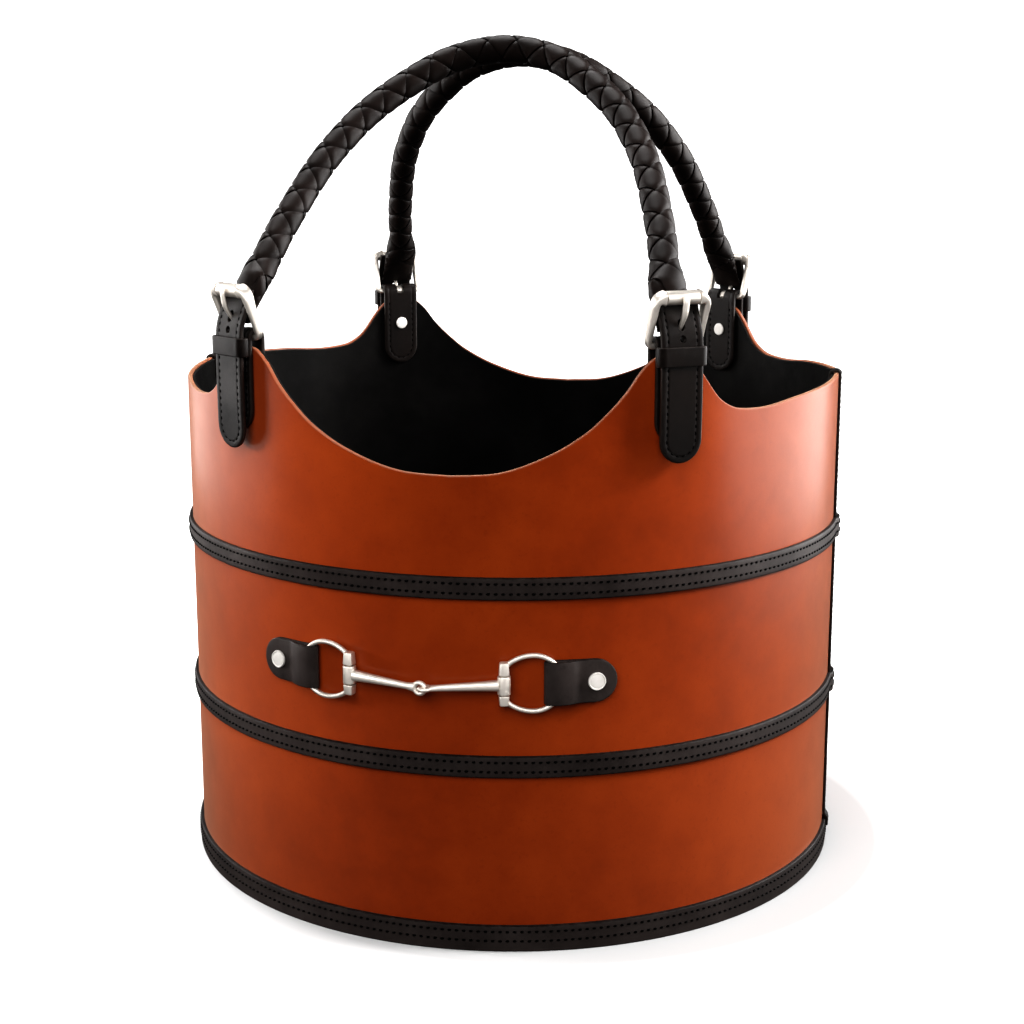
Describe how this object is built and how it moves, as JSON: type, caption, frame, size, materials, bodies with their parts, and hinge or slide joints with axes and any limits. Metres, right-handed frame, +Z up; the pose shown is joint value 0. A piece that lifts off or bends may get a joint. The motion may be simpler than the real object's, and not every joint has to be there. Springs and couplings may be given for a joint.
{
  "type": "magazine basket",
  "caption": "Round saddle-leather magazine basket with dipped rim, dark stitched bands, snaffle-bit trim and two braided swing handles on roller buckles.",
  "frame": {"origin": "centre of the underside, on the surface that the basket stands on", "axes": "+Z up, -Y towards the front with the bit ornament, +X to the right seen from the front"},
  "size_m": [0.44, 0.446, 0.5334],
  "materials": {
    "saddle_leather": "satin, burnished, mottled tan",
    "dark_leather": "smooth dark brown, stitched",
    "black_lining": "matt black",
    "stiff_board": "raw pressed board",
    "satin_nickel": "satin nickel"
  },
  "bodies": {
    "basket": {"front_panel": "saddle_leather", "back_panel": "saddle_leather", "wall_lining": "black_lining", "floor_lining": "black_lining", "seam_strip_left": "black_lining", "seam_strip_right": "black_lining", "base_board": "stiff_board", "base_cover": "dark_leather", "upper_band": "dark_leather", "middle_band": "dark_leather", "base_band": "dark_leather", "bit_tab_left": "dark_leather", "bit_tab_right": "dark_leather", "front_left_anchor_strap": "dark_leather", "front_left_keeper": "dark_leather", "front_left_billet_strap": "dark_leather", "front_left_strap_rivet": "satin_nickel", "front_right_anchor_strap": "dark_leather", "front_right_keeper": "dark_leather", "front_right_billet_strap": "dark_leather", "front_right_strap_rivet": "satin_nickel", "back_left_anchor_strap": "dark_leather", "back_left_keeper": "dark_leather", "back_left_billet_strap": "dark_leather", "back_left_strap_rivet": "satin_nickel", "back_right_anchor_strap": "dark_leather", "back_right_keeper": "dark_leather", "back_right_billet_strap": "dark_leather", "back_right_strap_rivet": "satin_nickel", "bit_tab_rivet_left": "satin_nickel", "bit_tab_rivet_right": "satin_nickel"},
    "front_handle": {"front_handle_braid": "dark_leather", "front_left_buckle_frame": "satin_nickel", "front_left_prong": "satin_nickel", "front_right_buckle_frame": "satin_nickel", "front_right_prong": "satin_nickel"},
    "back_handle": {"back_handle_braid": "dark_leather", "back_left_buckle_frame": "satin_nickel", "back_left_prong": "satin_nickel", "back_right_buckle_frame": "satin_nickel", "back_right_prong": "satin_nickel"},
    "front_left_roller": {"front_left_roller": "satin_nickel"},
    "front_right_roller": {"front_right_roller": "satin_nickel"},
    "back_left_roller": {"back_left_roller": "satin_nickel"},
    "back_right_roller": {"back_right_roller": "satin_nickel"},
    "bit_left_ring": {"bit_ring_left": "satin_nickel"},
    "bit_left_arm": {"bit_arm_left": "satin_nickel"},
    "bit_right_ring": {"bit_ring_right": "satin_nickel"},
    "bit_right_arm": {"bit_arm_right": "satin_nickel"}
  },
  "joints": [
    {"name": "front_handle_swing", "type": "hinge", "parent": "basket", "child": "front_handle", "pos_m": [0, -0.17146, 0.3555], "axis": [1, 0, 0], "range_deg": [-5, 25], "deforming": ["front_left_billet_strap", "front_left_anchor_strap", "front_right_billet_strap", "front_right_anchor_strap"]},
    {"name": "back_handle_swing", "type": "hinge", "parent": "basket", "child": "back_handle", "pos_m": [0, 0.17146, 0.3555], "axis": [-1, 0, 0], "range_deg": [-5, 25], "deforming": ["back_left_billet_strap", "back_left_anchor_strap", "back_right_billet_strap", "back_right_anchor_strap"]},
    {"name": "front_left_roller_spin", "type": "hinge", "parent": "front_handle", "child": "front_left_roller", "pos_m": [-0.13204, -0.17844, 0.38254], "axis": [0.8039, -0.5948, 0], "continuous": true},
    {"name": "front_right_roller_spin", "type": "hinge", "parent": "front_handle", "child": "front_right_roller", "pos_m": [0.13204, -0.17844, 0.38254], "axis": [0.8039, 0.5948, 0], "continuous": true},
    {"name": "back_right_roller_spin", "type": "hinge", "parent": "back_handle", "child": "back_right_roller", "pos_m": [0.13204, 0.17844, 0.38254], "axis": [-0.8039, 0.5948, 0], "continuous": true},
    {"name": "back_left_roller_spin", "type": "hinge", "parent": "back_handle", "child": "back_left_roller", "pos_m": [-0.13204, 0.17844, 0.38254], "axis": [-0.8039, -0.5948, 0], "continuous": true},
    {"name": "bit_left_ring_swing", "type": "hinge", "parent": "basket", "child": "bit_left_ring", "pos_m": [-0.08166, -0.20413, 0.1652], "axis": [0, 0, -1], "range_deg": [0, 3]},
    {"name": "bit_right_ring_swing", "type": "hinge", "parent": "basket", "child": "bit_right_ring", "pos_m": [0.06868, -0.20886, 0.1652], "axis": [0, 0, 1], "range_deg": [0, 3]},
    {"name": "bit_left_arm_swing", "type": "hinge", "parent": "bit_left_ring", "child": "bit_left_arm", "pos_m": [-0.05296, -0.21416, 0.1652], "axis": [0, 0, 1], "range_deg": [0, 7]},
    {"name": "bit_right_arm_swing", "type": "hinge", "parent": "bit_right_ring", "child": "bit_right_arm", "pos_m": [0.03941, -0.21706, 0.1652], "axis": [0, 0, -1], "range_deg": [0, 7]}
  ],
  "couplings": [
    {"joint": "bit_right_ring_swing", "follows": "bit_left_ring_swing", "ratio": 1},
    {"joint": "bit_left_arm_swing", "follows": "bit_left_ring_swing", "ratio": 2.3},
    {"joint": "bit_right_arm_swing", "follows": "bit_left_ring_swing", "ratio": 2.3}
  ]
}
